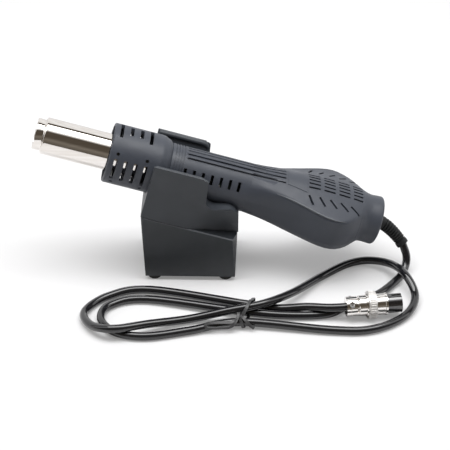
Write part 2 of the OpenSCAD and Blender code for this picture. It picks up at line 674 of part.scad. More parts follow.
module impeller() color("slategray") in_hand() on_blower() difference() {
    union() {
        translate([0, 0, blade_z0]) cylinder(r = hub_r, h = blade_z1 - blade_z0);
        translate([0, 0, blade_z0]) cylinder(r = impeller_r, h = 0.9);
        for (k = [0 : blade_count - 1]) rotate(360 * k / blade_count)
            translate([hub_r - 0.6, 0, blade_z0 + 0.4]) rotate(28)
                cube([(impeller_r - hub_r) * 0.92, 0.8, blade_z1 - blade_z0 - 1.9]);
    }
    translate([0, 0, blade_z0 - cut]) cylinder(r = hub_r - hub_wall, h = blade_z1 - blade_z0 - hub_top + cut);
    translate([0, 0, blade_z1 - hub_top - cut]) cylinder(r = shaft_r + 0.02, h = hub_top + 2 * cut);
}
module rotor_magnet() color("darkgray") in_hand() on_blower() difference() {
    translate([0, 0, blade_z0 + 0.4]) cylinder(r = hub_r - hub_wall - 0.02, h = magnet_len);
    translate([0, 0, blade_z0]) cylinder(r = hub_r - hub_wall - magnet_t, h = magnet_len + cut);
}

// rear end
boot_r = 5.1;
boot_end_r = 4.2;
neck_gap = 0.1;
module end_collar() color("darkslategray") in_hand()
    turned(concat(
        [[boot_r + neck_gap, end_s - 3.6], [rear_spigot_r + neck_gap, end_s - 3.6],
         [rear_spigot_r + neck_gap, collar_s], [collar_r - edge_r, collar_s]],
        [for (a = [30 : 30 : 90]) [collar_r - edge_r + edge_r * sin(a), collar_s + edge_r - edge_r * cos(a)]],
        [for (a = [0 : 15 : 90]) [collar_r - bead_r + bead_r * cos(a), end_s - bead_r + bead_r * sin(a)]],
        [[boot_r + neck_gap, end_s]]));
flange_boot_r = 8;
module strain_relief() color("black") in_hand() {
    curve = smooth(boot_line, 5);
    last = len(curve) - 1;
    line = concat([for (d = [6.1, 3.8, 3.75]) [end_s - d, 0, 0]], [for (i = [4 : last]) curve[i]]);
    radii = concat([flange_boot_r, flange_boot_r, boot_r], [for (i = [4 : last])
        boot_r + (boot_end_r - boot_r) * i / last - (i > 6 && i < 22 && i % 2 == 0 ? 0.9 : 0)]);
    pipe(line, radii, cord_d / 2, 16);
}
module cord_tail() color("black") in_hand() {
    curve = smooth(concat([[clamp_s - 3.5, 0, 0]], boot_line), 3);
    line = [for (i = [0 : len(curve) - 2]) curve[i]];
    sweep(line, [for (p = line) cord_d / 2 - 0.15], 12);
}
clamp_block = [5, 18, 4.6];
clamp_screw_y = 6;
module cord_clamp() color("dimgray") in_hand() for (side = [0, 180]) rotate([side, 0, 0]) difference() {
    translate([clamp_s - clamp_block[0] / 2, -clamp_block[1] / 2, 0.3]) cube(clamp_block);
    rod(cord_d / 2 + 0.02, clamp_s - 6, clamp_s + 6);
    for (y = [-clamp_screw_y, clamp_screw_y]) translate([clamp_s, y, -cut])
        cylinder(r = screw_r, h = clamp_block[2] + 3 * cut, $fn = 24);
}
module clamp_screws() color("silver") in_hand() for (y = [-clamp_screw_y, clamp_screw_y])
    translate([clamp_s, y, -4.9]) screw(9.8, screw_r - 0.1, 1.9, 1.2);

// stand
module cradle_outline() difference() {
    top = wall_up / cos(tilt);
    shelf_r = 7.5;
    corner_r = 9.5;
    lip_r = 3;
    lip_x = wall_right + wall_rake;
    end_x = stand_right + end_over;
    union() {
        polygon([
            [-stand_left, on_seam_z(-stand_left) + seam_gap],
            [wall_lean - stand_left, on_axis(wall_lean - stand_left) + top],
            [lip_x, on_axis(lip_x) + top], [wall_right, shelf_z], [end_x, shelf_z],
            [end_x, on_seam_z(end_x) + seam_gap]
        ]);
        difference() {
            translate([wall_right - cut, shelf_z - cut]) square(shelf_r + cut);
            translate([wall_right + shelf_r, shelf_z + shelf_r]) circle(r = shelf_r);
        }
    }
    translate([end_x - corner_r, shelf_z - corner_r]) difference() {
        square(corner_r + cut);
        circle(r = corner_r);
    }
    translate([lip_x - lip_r, on_axis(lip_x) + top - lip_r]) difference() {
        square(lip_r + 2 * cut);
        circle(r = lip_r);
    }
}
// what is cut out of the cradle: bay for the guard, trough for the grip, and walls that lean outwards
module channel() {
    end = 200;
    rim = stand_w / 2 - rim_t;
    step_s = web_s + 0.3 * guard_taper;
    turned([[0, -end], [bay_r, -end], [bay_r, step_s],
            [trough_r, step_s + 0.8 * guard_taper], [trough_r, end], [0, end]]);
    translate([-end, -channel_half, 0]) cube([end + grip_s, 2 * channel_half, 100]);
    translate([-end, 0, 0]) rotate([90, 0, 90]) linear_extrude(2 * end)
        polygon([[0.2 - trough_r, -0.5], [-rim, wall_up], [-rim, 100],
                 [rim, 100], [rim, wall_up], [trough_r - 0.2, -0.5]]);
}
scoop_r = 40;
module scoop(side) translate([-1, side * stand_w / 2, on_seam_z(-1)]) rotate([0, tilt, -side * 17.5])
    translate([-30, side * scoop_r, 0]) rotate([0, 90, 0]) cylinder(r = scoop_r, h = 120, $fn = 96);
module cradle_block() on_stand() rotate([90, 0, 0]) linear_extrude(stand_w, center = true) cradle_outline();
module cradle() color("darkslategray") difference() {
    union() {
        difference() {
            cradle_block();
            on_stand() linear_extrude(80) polygon([
                [4 - stand_left, -hollow_half], [8, -hollow_half], [stand_right - 4, -hollow_end_half],
                [stand_right - 4, hollow_end_half], [8, hollow_half], [4 - stand_left, hollow_half]]);
        }
        intersection() {
            cradle_block();
            in_hand() translate([0, -hollow_half - cut, -trough_r - box_wall - (bay_r - trough_r)])
                cube([web_s + guard_taper, 2 * (hollow_half + cut), 100]);
        }
        intersection() {
            cradle_block();
            in_hand() translate([web_s, -hollow_half - cut, -trough_r - box_wall])
                cube([100, 2 * (hollow_half + cut), 100]);
        }
        in_hand() translate([magnet_s, 0, -trough_r - 1 - magnet_h])
            cylinder(r = magnet_r + 1.4, h = magnet_h + 1);
    }
    in_hand() channel();
    for (side = [-1, 1]) on_stand() scoop(side);
    in_hand() translate([magnet_s, 0, -trough_r - 1 - magnet_h - cut])
        cylinder(r = magnet_r + seat_gap, h = magnet_h + cut);
    at_deck() translate([0, 0, -cut]) cylinder(r = 1.25, h = 9, $fn = 24);
}
// on the seam's plane at each of the four screws that join cradle and base
module at_deck() on_stand() for (p = deck_at, side = [-1, 1])
    translate([p[0], side * p[1], on_seam_z(p[0])]) rotate([0, tilt, 0]) children();

module box_outline(inset) polygon([
    [draft - stand_left + inset, base_z], [inset - stand_left, on_seam_z(inset - stand_left) - inset],
    [stand_right - inset, on_seam_z(stand_right - inset) - inset], [stand_right - end_draft - inset, base_z]
]);
module rounded_plan(inset) {
    r = 2.2;
    x0 = -stand_left + inset;
    x1 = stand_right - inset;
    y1 = stand_w / 2 - inset;
    union() {
        translate([x0 + r, -y1]) square([x1 - x0 - 2 * r, 2 * y1]);
        translate([x0, -y1 + r]) square([x1 - x0, 2 * (y1 - r)]);
        for (x = [x0 + r, x1 - r], y = [-y1 + r, y1 - r]) translate([x, y]) circle(r = r);
    }
}
// what is cut off a vertical corner at the base's right end
module corner(side)
    translate([stand_right - corner_cut, side * stand_w / 2, on_seam_z(stand_right - corner_cut)])
        rotate([0, -2.8, side * 17.1]) translate([0, -30, -60]) cube([20, 60, 120]);
module base_box() color("darkslategray") difference() {
    on_stand() union() {
        difference() {
            intersection() {
                rotate([90, 0, 0]) linear_extrude(stand_w, center = true) box_outline(0);
                linear_extrude(100) rounded_plan(0);
            }
            intersection() {
                rotate([90, 0, 0]) linear_extrude(stand_w - 2 * box_wall, center = true)
                    polygon([[draft - stand_left + box_wall, 0],
                             [box_wall - stand_left, on_seam_z(box_wall - stand_left) - roof_t],
                             [cavity_right, on_seam_z(cavity_right) - roof_t], [cavity_right, 0]]);
                linear_extrude(100) rounded_plan(box_wall);
            }
            for (side = [-1, 1]) corner(side);
        }
        intersection() {
            for (x = post_x, y = [-post_y, post_y])
                translate([x, y, base_z + plate_t]) cylinder(r = post_out_r, h = 60);
            rotate([90, 0, 0]) linear_extrude(stand_w, center = true) box_outline(0.3);
        }
    }
    on_stand() for (x = post_x, y = [-post_y, post_y])
        translate([x, y, base_z + plate_t - cut]) cylinder(r = 1.25, h = 10, $fn = 24);
    at_deck() translate([0, 0, -8]) cylinder(r = 1.7, h = 10, $fn = 24);
}
plate_x0 = draft - stand_left + box_wall + 0.6;
plate_x1 = cavity_right - 0.2;
plate_y = stand_w / 2 - box_wall - 0.2;
module base_plate() color("dimgray") on_stand() difference() {
    translate([plate_x0, -plate_y, base_z]) cube([plate_x1 - plate_x0, 2 * plate_y, plate_t]);
    for (x = post_x, y = [-post_y, post_y]) translate([x, y, 0]) {
        cylinder(r = 1.7, h = 20, $fn = 24);
        cylinder(r = 2.8, h = base_z + 1.2, $fn = 32);
    }
}
module rubber_feet() color("black") on_stand() for (x = foot_x, y = [-foot_y, foot_y])
    translate([x, y, 0]) rotate_extrude()
        polygon([[0, 0], [foot_r - 0.8, 0], [foot_r, 0.8], [foot_r, base_z], [0, base_z]]);
module ballast_plate() color("silver") on_stand()
    translate([ballast_x, -ballast[1] / 2, base_z + plate_t]) cube(ballast);
module base_screws() color("silver") on_stand() for (x = post_x, y = [-post_y, post_y])
    translate([x, y, base_z + 1.2]) screw(9.5, 1.2, 2.6, 1.1);
module cradle_screws() color("silver") at_deck() translate([0, 0, -deck_t]) screw(deck_t + 7, 1.2, 2.6, 1.5);
module sleep_magnet() color("gray") in_hand() translate([magnet_s, 0, -trough_r - 1 - magnet_h - 0.05])
    cylinder(r = magnet_r, h = magnet_h);

// cord, its tie and its plug; the cord starts just clear of the strain relief's end
boot_end = boot_line[len(boot_line) - 1];
cord_start = boot_end + rest_gap * unit(boot_end - boot_line[len(boot_line) - 2]);
cord_line = smooth(concat([placed(cord_start)], cord_points, [plug_point(-9), plug_point(clamp_len)]), 2);
module cord() color("black") {
    line = [for (p = cord_line) [p[0], p[1], max(p[2], cord_d / 2)]];
    sweep(line, [for (p = line) cord_d / 2], 8);
}
module cord_tie() color("black") {
    line = smooth(tie_points, 3);
    sweep(line, [for (p = line) 0.6], 8);
}
module plug_shell() color("silver") on_plug() difference() {
    union() {
        turned([[0, body_s], [body_r - 1, body_s], [body_r, body_s + 1], [body_r, ring_s - 1.4],
                [body_r + 1, ring_s - 1.2], [body_r + 1, ring_s - 0.1], [sleeve_r, ring_s - 0.1],
                [sleeve_r, sleeve_end - 1.6], [sleeve_r + 0.5, sleeve_end - 1.3],
                [sleeve_r + 0.5, sleeve_end], [0, sleeve_end]]);
        intersection() {
            rod(body_r - 0.2, 0.3, body_s + 0.9);
            translate([0, -20, -20.3]) cube([body_s + 2, 40, 20]);
        }
        rod(4.6, clamp_len + 0.1, body_s + 0.5);
    }
    rod(cord_d / 2 + 0.15, -cut, body_s);
    rod(insert_r + run_gap, insert_s - 1, sleeve_end + cut);
    rod(3.2, body_s - cut, insert_s);
    for (y = [-4.7, 4.7]) translate([saddle_s, y, -6]) cylinder(r = 0.75, h = 8, $fn = 24);
}
module plug_clamp() color("silver") on_plug() difference() {
    intersection() {
        rod(body_r - 0.2, 0.3, clamp_len);
        translate([0, -20, 0.3]) cube([clamp_len, 40, 20]);
    }
    rod(cord_d / 2 + 0.15, -cut, clamp_len + cut);
    for (y = [-4.7, 4.7]) translate([saddle_s, y, -cut]) {
        cylinder(r = 0.95, h = 9, $fn = 24);
        translate([0, 0, cut + 3]) cylinder(r = 1.8, h = 6, $fn = 32);
    }
}
module plug_clamp_screws() color("silver") on_plug() for (y = [-4.7, 4.7])
    translate([saddle_s, y, 3]) mirror([0, 0, 1]) screw(7, 0.7, 1.6, 1.2);
module coupling_ring() color("silver") on_plug() difference() {
    rod(ring_r, ring_s, ring_s + ring_len);
    rod(sleeve_r + run_gap, ring_s - cut, ring_s + ring_len + cut);
    for (a = [0 : 10 : 350]) rotate([a + 5, 0, 0])
        translate([ring_s + 0.8, 0, ring_r + 0.15]) rotate([0, 90, 0])
            cylinder(r = 0.45, h = ring_len - 1.6, $fn = 16);
}
module plug_insert() color("black") on_plug() difference() {
    rod(insert_r, insert_s, insert_end);
    rod(insert_r - 1.1, insert_end - 8.5, insert_end + cut);
    translate([insert_end - 7, -1.2, insert_r - 0.7]) cube([8, 2.4, 2]);
    for (a = [0 : 45 : 315]) rotate([a, 0, 0]) rod(0.62, insert_s - cut, insert_end, 0, pin_ring);
}
module plug_contacts() color("gold") on_plug() for (a = [0 : 45 : 315]) rotate([a, 0, 0])
    rod(0.6, insert_s - 0.8, insert_end - 2, 0, pin_ring);

nozzle_tube();
mica_sleeve();
heater_core();
heater_coil();
thermocouple();
heater_flange();
heater_leads();
heat_guard();
guard_screws();
upper_shell();
lower_shell();
shell_screws();
terminal_board();
board_screws();
board_connector();
reed_switch();
fan_leads();
inner_wires();
blower_case();
blower_cover();
blower_screws();
motor_stator();
motor_bearing();
impeller();
rotor_magnet();
motor_shaft();
end_collar();
cord_clamp();
clamp_screws();
strain_relief();
cord_tail();
cradle();
base_box();
base_plate();
ballast_plate();
rubber_feet();
base_screws();
cradle_screws();
sleep_magnet();
cord();
cord_tie();
plug_shell();
plug_clamp();
plug_clamp_screws();
coupling_ring();
plug_insert();
plug_contacts();
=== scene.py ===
# Hot air handpiece in its cradle stand, with its bundled cord, twist tie and round plug.
# Metres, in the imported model's frame: the floor is z = 0 and the photograph is taken from -Y.
import json
from math import cos, pi, radians, sin

import bmesh
import bpy
from mathutils import Matrix, Vector


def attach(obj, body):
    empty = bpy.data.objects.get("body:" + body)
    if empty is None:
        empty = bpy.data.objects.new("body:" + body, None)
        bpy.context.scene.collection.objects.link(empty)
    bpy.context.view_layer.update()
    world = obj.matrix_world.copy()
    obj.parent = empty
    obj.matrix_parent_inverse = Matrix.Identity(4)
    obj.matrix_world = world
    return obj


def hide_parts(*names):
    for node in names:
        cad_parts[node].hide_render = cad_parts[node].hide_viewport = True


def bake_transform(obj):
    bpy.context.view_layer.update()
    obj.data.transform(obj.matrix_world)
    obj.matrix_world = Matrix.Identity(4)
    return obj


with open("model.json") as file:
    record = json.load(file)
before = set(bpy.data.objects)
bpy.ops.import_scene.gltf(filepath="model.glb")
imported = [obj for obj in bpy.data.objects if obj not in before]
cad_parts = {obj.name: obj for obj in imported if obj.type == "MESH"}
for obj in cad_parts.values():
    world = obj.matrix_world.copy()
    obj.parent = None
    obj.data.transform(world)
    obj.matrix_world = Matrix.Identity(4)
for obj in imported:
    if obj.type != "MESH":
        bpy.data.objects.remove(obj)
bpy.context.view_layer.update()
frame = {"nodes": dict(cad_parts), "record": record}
nodes = frame["nodes"]
bodies = frame["record"]["behaviour"]["bodies"]
bodyOf = {node: body for body, members in bodies.items() for node in members}
slotOf = {part["node"]: part["material_slot"] for part in frame["record"]["subparts"]}
mm = 0.001
print("frame loaded:", len(nodes), "nodes")

# camera
camera = {
    "elevation": 35.0,              # degrees above the floor
    "turn": 1.2,                    # degrees to the right of the handpiece's side view
    "distance": 1.14,
    "aim": (0.01063, 0.0, 0.0306),
    "pixelsPerMetre": 1400.0,       # at the aim point, in a frame of 450 pixels
    "framePixels": 450,
    "sensor": 36.0,
    "nearest": 0.05,
}


def addCamera(c):
    up, side = radians(c["elevation"]), radians(c["turn"])
    back = Vector((sin(side) * cos(up), -cos(side) * cos(up), sin(up)))
    data = bpy.data.cameras.new("photoCamera")
    data.sensor_width = c["sensor"]
    data.lens = c["sensor"] * c["pixelsPerMetre"] * c["distance"] / c["framePixels"]
    data.clip_start = c["nearest"]
    view = bpy.data.objects.new("photoCamera", data)
    bpy.context.scene.collection.objects.link(view)
    view.location = Vector(c["aim"]) + back * c["distance"]
    view.rotation_euler = (-back).to_track_quat("-Z", "Y").to_euler()
    bpy.context.scene.camera = view


addCamera(camera)

# small helpers
cornerAngle = 35                    # degrees: edges sharper than this stay corners


def deselectAll():
    if bpy.context.mode != "OBJECT":
        bpy.ops.object.mode_set(mode="OBJECT")
    bpy.ops.object.select_all(action="DESELECT")


def makeActive(piece):
    deselectAll()
    piece.select_set(True)
    bpy.context.view_layer.objects.active = piece


def applyAll(piece):
    makeActive(piece)
    for modifier in list(piece.modifiers):
        bpy.ops.object.modifier_apply(modifier=modifier.name)


def smoothShade(piece, angle=cornerAngle):
    makeActive(piece)
    bpy.ops.object.shade_smooth_by_angle(angle=radians(angle))


def standFor(piece, node):
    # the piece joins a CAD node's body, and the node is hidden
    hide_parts(node)
    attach(piece, bodyOf[node])


def pieceFrom(mesh, name):
    # the mesh becomes a piece of its own, with its faces outwards
    bmesh.ops.recalc_face_normals(mesh, faces=mesh.faces)
    data = bpy.data.meshes.new(name)
    mesh.to_mesh(data)
    mesh.free()
    piece = bpy.data.objects.new(name, data)
    bpy.context.scene.collection.objects.link(piece)
    return piece


def bridgeRings(mesh, pairs):
    for one, two in pairs:
        for k in range(len(one)):
            n = (k + 1) % len(one)
            mesh.faces.new((one[k], one[n], two[n], two[k]))


def joinTo(piece, others):
    # the others become part of the piece and keep their finishes
    deselectAll()
    for other in others:
        other.select_set(True)
    piece.select_set(True)
    bpy.context.view_layer.objects.active = piece
    bpy.ops.object.join()


def between(a, b, c, d, t):
    # a point between b and c on a smooth curve through all four
    bend, twist = 2 * a - 5 * b + 4 * c - d, 3 * b - 3 * c + d - a
    return 0.5 * (2 * b + (c - a) * t + bend * t * t + twist * t ** 3)


def smoothLine(points, steps):
    # the same curve through the route's points as the CAD cord has
    ends = [2 * points[0] - points[1]] + points + [2 * points[-1] - points[-2]]
    line = []
    for i in range(1, len(points)):
        line += [between(*ends[i - 1:i + 3], k / steps) for k in range(steps)]
    return line + [points[-1]]


def tubeAlong(name, line, radii, sides):
    # a curve with a round bevel, turned into a mesh
    curve = bpy.data.curves.new(name, "CURVE")
    curve.dimensions = "3D"
    curve.bevel_depth = max(radii)
    curve.bevel_resolution = sides // 4 - 1
    curve.use_fill_caps = True
    spline = curve.splines.new("POLY")
    spline.points.add(len(line) - 1)
    for point, place, radius in zip(spline.points, line, radii):
        point.co = (*place, 1)
        point.radius = radius / max(radii)
    piece = bpy.data.objects.new(name, curve)
    bpy.context.scene.collection.objects.link(piece)
    makeActive(piece)
    bpy.ops.object.convert(target="MESH")
    smoothShade(bpy.context.object, angle=50)
    return bpy.context.object


# the axes of handpiece and plug
handAxis = {"tilt": radians(16.3), "tip": Vector((-0.120235, 0, 0.105958))}
plugAxis = {"start": Vector((0.0947, -0.066, 0.0095)), "turn": radians(8.3)}


def inHand(s, y, z):
    # a place in the handpiece's own axes, in mm from the nozzle's tip, turned into the model's frame
    turn = Matrix.Rotation(handAxis["tilt"], 3, "Y")
    return handAxis["tip"] + turn @ Vector((s, y, z)) * mm


def onPlug(s):
    # a place on the plug's axis, in mm from its rear
    return plugAxis["start"] + Vector((cos(plugAxis["turn"]), sin(plugAxis["turn"]), 0)) * s * mm


bootFacts = {
    # centre line in the handpiece's own axes: through the collar, then bending down
    "line": [
        (242.6, 0, 0), (249.2, 0, 0), (255.7, -0.3, -1.7), (261.7, -0.9, -4.6), (267.4, -2, -8.1),
        (272.2, -4, -11.3)],
    "steps": 44,
    "sides": 40,
    "flange": (243.1, 245.4, 8.0),  # start, end and radius of the disc behind the collar's lip
    "flangeEdge": 0.05,             # length of the step from the disc down to the sleeve
    "radii": (5.1, 4.15),           # at the collar and at the end
    "rim": (0.9, 0.3),              # where the thicker end rim starts, and how much thicker it is
    "ribs": (0.26, 0.88, 9, 1.1),   # from, to, count and depth of the grooves between the ribs
}
cordFacts = {
    "diameter": 0.0058,
    "length": 1.02,                 # the photograph shows it from boot to plug
    "steps": 8,
    "sides": 32,
    # route after the strain relief: the same points as in part.scad, in mm
    "route": [
        (140.6, -8.8, 11.5), (139.5, -14.6, 6), (134.6, -23.6, 3), (122, -39.8, 3), (108, -51, 3),
        (95, -58, 3), (81, -66.5, 3), (52, -68.2, 3.2), (23, -66, 4.5), (-42, -52, 3),
        (-68, -59.3, 3), (-73, -75, 3), (-62, -89, 3), (-41, -93, 3), (-11, -86, 3), (23, -78, 4.5),
        (85, -83.6, 3), (113, -82, 3), (135.2, -67.6, 3), (144.3, -48, 5), (138, -29, 10.8),
        (126.5, -10.6, 7), (106, -4.2, 3), (82, -21, 3), (59, -48, 7.5), (38, -65, 10.4),
        (14, -71, 8.5), (-12, -74, 3.5), (-41, -85, 7), (-63, -93, 9), (-79, -84, 5), (-85, -67, 3),
        (-70, -49, 3), (-41, -41, 3), (25, -57.5, 4.5), (49, -60.5, 3.2), (68, -64, 7.4),
    ],
    "intoPlug": (-9, 7.7),          # the last two points, along the plug's axis
    # the ends of the stretch of cord that a lift of the handpiece would bend
    "liftStart": (0.1396, -0.013, 0.0075),
    "liftEnd": (0.14456, -0.00618, 0.01655),
}


def addCord(c):
    exitPoint = inHand(*bootFacts["line"][-1])
    points = [exitPoint] + [Vector(p) * mm for p in c["route"]] + [onPlug(s) for s in c["intoPlug"]]
    line = smoothLine(points, c["steps"])
    radius = c["diameter"] / 2
    for p in line:
        p.z = max(p.z, radius)
    cord = tubeAlong("cordCable", line, [radius] * len(line), c["sides"])
    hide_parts("cord")
    return cord, exitPoint, line


def addBoot(b):
    # soft sleeve with fine ribs that the cord leaves the handpiece through
    line = smoothLine([Vector(p) for p in b["line"]], b["steps"])
    flangeStart, flangeEnd, flangeRadius = b["flange"]
    line = [p for p in line if p.x > flangeEnd + 2 * b["flangeEdge"]]
    first, last = b["radii"]
    ribStart, ribEnd, ribCount, ribDepth = b["ribs"]
    radii = []
    for i in range(len(line)):
        along = i / (len(line) - 1)
        radius = first + (last - first) * along
        if ribStart < along < ribEnd:
            wave = sin(pi * ribCount * (along - ribStart) / (ribEnd - ribStart)) ** 2
            radius -= ribDepth * max(0, wave * 2 - 1)
        elif along > b["rim"][0]:
            radius += b["rim"][1]
        radii.append(radius)
    disc = [Vector((x, 0, 0)) for x in (flangeStart, flangeEnd, flangeEnd + b["flangeEdge"])]
    points = [inHand(*p) for p in disc + line]
    radii = [r * mm for r in [flangeRadius, flangeRadius, first] + radii]
    boot = tubeAlong("bootSleeve", points, radii, b["sides"])
    standFor(boot, "strain_relief")
    return boot


cordCable, cordExit, cordLine = addCord(cordFacts)
bootSleeve = addBoot(bootFacts)
print("cord and boot laid out")

# twist tie: a flat strip, wrapped round the strands and twisted in front of them
tieFacts = {
    "width": 2.3,
    "thickness": 0.7,
    "edge": 0.6,                    # how far the edges lean in, as a share of half the thickness
    "steps": 6,
    # each strip: its route in mm, then the line along X that its flat side looks away from,
    # as (y, z)
    "strips": {
        "tieWrap": ([
            (22.6, -77.9, 8.6), (24.6, -76, 9.9), (26.8, -72.8, 12.6), (28.4, -69, 13.9),
            (29.6, -65.6, 13.9), (30.6, -61, 10.8), (31.4, -56, 8.2), (31.8, -53.4, 5),
            (31.4, -53.8, 2), (30.2, -58, 0.75), (28.4, -66, 0.6), (26.4, -75, 0.6),
            (24.9, -80.2, 1.4), (24.2, -81.4, 4.4), (23.2, -80.7, 7.2), (22, -79, 8.6)],
            (-68, 6)),
        "tieTail": ([
            (23.4, -76.6, 9.4), (21, -79, 8.9), (18.6, -81, 8), (16.6, -82.2, 7.3),
            (12, -82.2, 7.1), (6, -82.4, 7), (0.8, -83.2, 6.9), (-0.9, -84.6, 6.1),
            (0.6, -85.6, 4.9), (5, -85.4, 4.6), (10, -84.9, 4.5), (14.6, -84.6, 4.7),
            (17.6, -83.6, 5.8), (19.6, -81.6, 7.6), (21, -79, 9.3), (21.4, -76.6, 10.3),
            (21.6, -75.2, 10.6)],
            (-80.4, 4)),
        "tieEnd": ([
            (21.2, -78, 9.5), (23.8, -78.4, 9.2), (26.6, -80.4, 7.4), (29.2, -82.2, 5),
            (32.2, -83, 3)],
            (-78, 3)),
    },
}


def stripAlong(name, line, core, t):
    # a flat strip with rounded edges, its flat side turned away from the core line
    half, depth = t["width"] / 2, t["thickness"] / 2
    flat = half - depth * t["edge"]
    outline = [
        (half, 0), (flat, depth), (-flat, depth), (-half, 0), (-flat, -depth), (flat, -depth)]
    mesh = bmesh.new()
    rings = []
    for i, p in enumerate(line):
        along = (line[min(i + 1, len(line) - 1)] - line[max(i - 1, 0)]).normalized()
        away = Vector((0, p.y - core[0], p.z - core[1]))
        side = along.cross(away).normalized()
        face = side.cross(along)
        rings.append([mesh.verts.new((p + side * a + face * b) * mm) for a, b in outline])
    bridgeRings(mesh, zip(rings, rings[1:]))
    mesh.faces.new(rings[0][::-1])
    mesh.faces.new(rings[-1])
    strip = pieceFrom(mesh, name)
    smoothShade(strip, angle=40)
    return strip


def addTie(t):
    strips = []
    for name, (route, core) in t["strips"].items():
        line = smoothLine([Vector(p) for p in route], t["steps"])
        strips.append(stripAlong(name, line, core, t))
    tie = strips[0]
    joinTo(tie, strips[1:])
    tie.name = "twistTie"
    standFor(tie, "cord_tie")
    return tie


twistTie = addTie(tieFacts)
print("tie wrapped")

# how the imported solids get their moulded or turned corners, in metres and degrees
skinFacts = {
    "mergeWithin": 0.000002,
    "flatWithin": 1.5,              # faces closer to one plane than this become one face
    "steps": 3,
    # pieces that get a skin, with the width of the rounding
    "widths": {
        "cradle": 0.0006, "base_box": 0.0007,
        "heat_guard": 0.00025, "upper_shell": 0.0, "lower_shell": 0.0,
        "plug_shell": 0.00025, "plug_clamp": 0.00025, "coupling_ring": 0.0002,
        "plug_insert": 0.0003},
}
# edges of the stand that are rounded more than the rest: the seam's, and the rims of the walls; a
# finish of 1 paints their rounding lighter as a highlight
standFacts = {
    "sharp": 20,                    # degrees between the faces of an edge that counts
    "seamHeight": 0.0404,           # of the seam's plane, at x = 0
    "seamSlope": -0.2924,
    "seamWithin": 0.0006,
    "seamShortest": 0.012,          # shorter edges on the plane keep their corners
    "seamOutside": 0.0135,          # and so do edges nearer to the middle
    "seamRound": 0.0008,
    "seamFinish": {"cradle": -1, "base_box": 1},
    "rimHeight": 0.08,
    "rimOutside": 0.024,
    "rimRound": 0.00055,
    "rimFinish": 1,
}


def roundEdges(piece, chosen, width, slot, limited):
    # slot -1 keeps the finish of the faces beside the edge, slot 1 is the lighter finish that paints
    # a highlight
    mesh = bmesh.new()
    mesh.from_mesh(piece.data)
    convex = [edge for edge in mesh.edges if len(edge.link_faces) == 2 and edge.is_convex]
    sharp = [edge for edge in convex if edge.calc_face_angle() > radians(standFacts["sharp"])]
    bmesh.ops.bevel(
        mesh, geom=[edge for edge in sharp if chosen(edge)], affect="EDGES", offset=width,
        segments=skinFacts["steps"], profile=0.5, clamp_overlap=limited, material=slot)
    mesh.to_mesh(piece.data)
    mesh.free()


def onSeam(edge):
    s = standFacts
    above = [v.co.z - s["seamHeight"] - s["seamSlope"] * v.co.x for v in edge.verts]
    onPlane = max(abs(height) for height in above) < s["seamWithin"]
    outside = max(abs(v.co.y) for v in edge.verts) > s["seamOutside"]
    return onPlane and outside and edge.calc_length() > s["seamShortest"]


def onRim(edge):
    outside = max(abs(v.co.y) for v in edge.verts) > standFacts["rimOutside"]
    return outside and min(v.co.z for v in edge.verts) > standFacts["rimHeight"]


def smoothCopy(node, width):
    # a CAD node's solid with its corners rounded
    piece = bpy.data.objects.new(node + "Skin", nodes[node].data.copy())
    bpy.context.scene.collection.objects.link(piece)
    makeActive(piece)
    bpy.ops.object.mode_set(mode="EDIT")
    bpy.ops.mesh.select_all(action="SELECT")
    bpy.ops.mesh.remove_doubles(threshold=skinFacts["mergeWithin"])
    bpy.ops.mesh.dissolve_limited(angle_limit=radians(skinFacts["flatWithin"]))
    bpy.ops.object.mode_set(mode="OBJECT")
    if node in standFacts["seamFinish"]:
        # the box's seam edges take the full width; the cradle's would make spikes, so they don't
        s = standFacts
        held = node == "cradle"
        roundEdges(piece, onSeam, s["seamRound"], s["seamFinish"][node], limited=held)
        roundEdges(piece, onRim, s["rimRound"], s["rimFinish"], limited=True)
    if width:
        rounding = piece.modifiers.new("rounding", "BEVEL")
        rounding.width = width
        rounding.segments = skinFacts["steps"]
        rounding.limit_method = "ANGLE"
        rounding.angle_limit = radians(cornerAngle)
        applyAll(piece)
    smoothShade(piece)
    weights = piece.modifiers.new("flatFaces", "WEIGHTED_NORMAL")
    weights.keep_sharp = True
    applyAll(piece)
    standFor(piece, node)
    return piece


skins = {node: smoothCopy(node, width) for node, width in skinFacts["widths"].items()}
print("skins made:", len(skins))

# raised lines on the tail, in mm: a bead along each side of the crown, and the thumb's pad
beadFacts = {
    "from": 171, "to": 221, "step": 2,
    "radius": 0.7,
    "sunk": 0.1,
    "sides": 16,
    "corner": (0.76, 11.64),        # of the crown: how far in from the flank, and above the axis
    "flankHeight": 8,
    "taper": (0.3, 0.12),           # share of the radius at the ends, and how much each step adds
    "farOut": (60, 15),             # from where the flank and the corner are looked for
}
padFacts = {
    "from": 177.2, "to": 192,
    "halves": (9, 13),              # half the width at its start and end
    "rows": 12, "columns": 14,
    "raised": 0.3,
    "edge": (0.5, 0.02),            # its slope's width: across in mm, and as a share of the length
    "edgeSunk": 0.2,
    "thickness": 0.4,
    "above": 40,                    # from where the skin is looked for
}


def onSkin(skin, s, y, z, toY, toZ):
    # the skin's first point from a place in the handpiece's axes, looking across its section
    start = inHand(s, y, z)
    across = (inHand(s, y + toY, z + toZ) - start).normalized()
    found, place, normal, face = skin.ray_cast(start, across)
    return place, normal


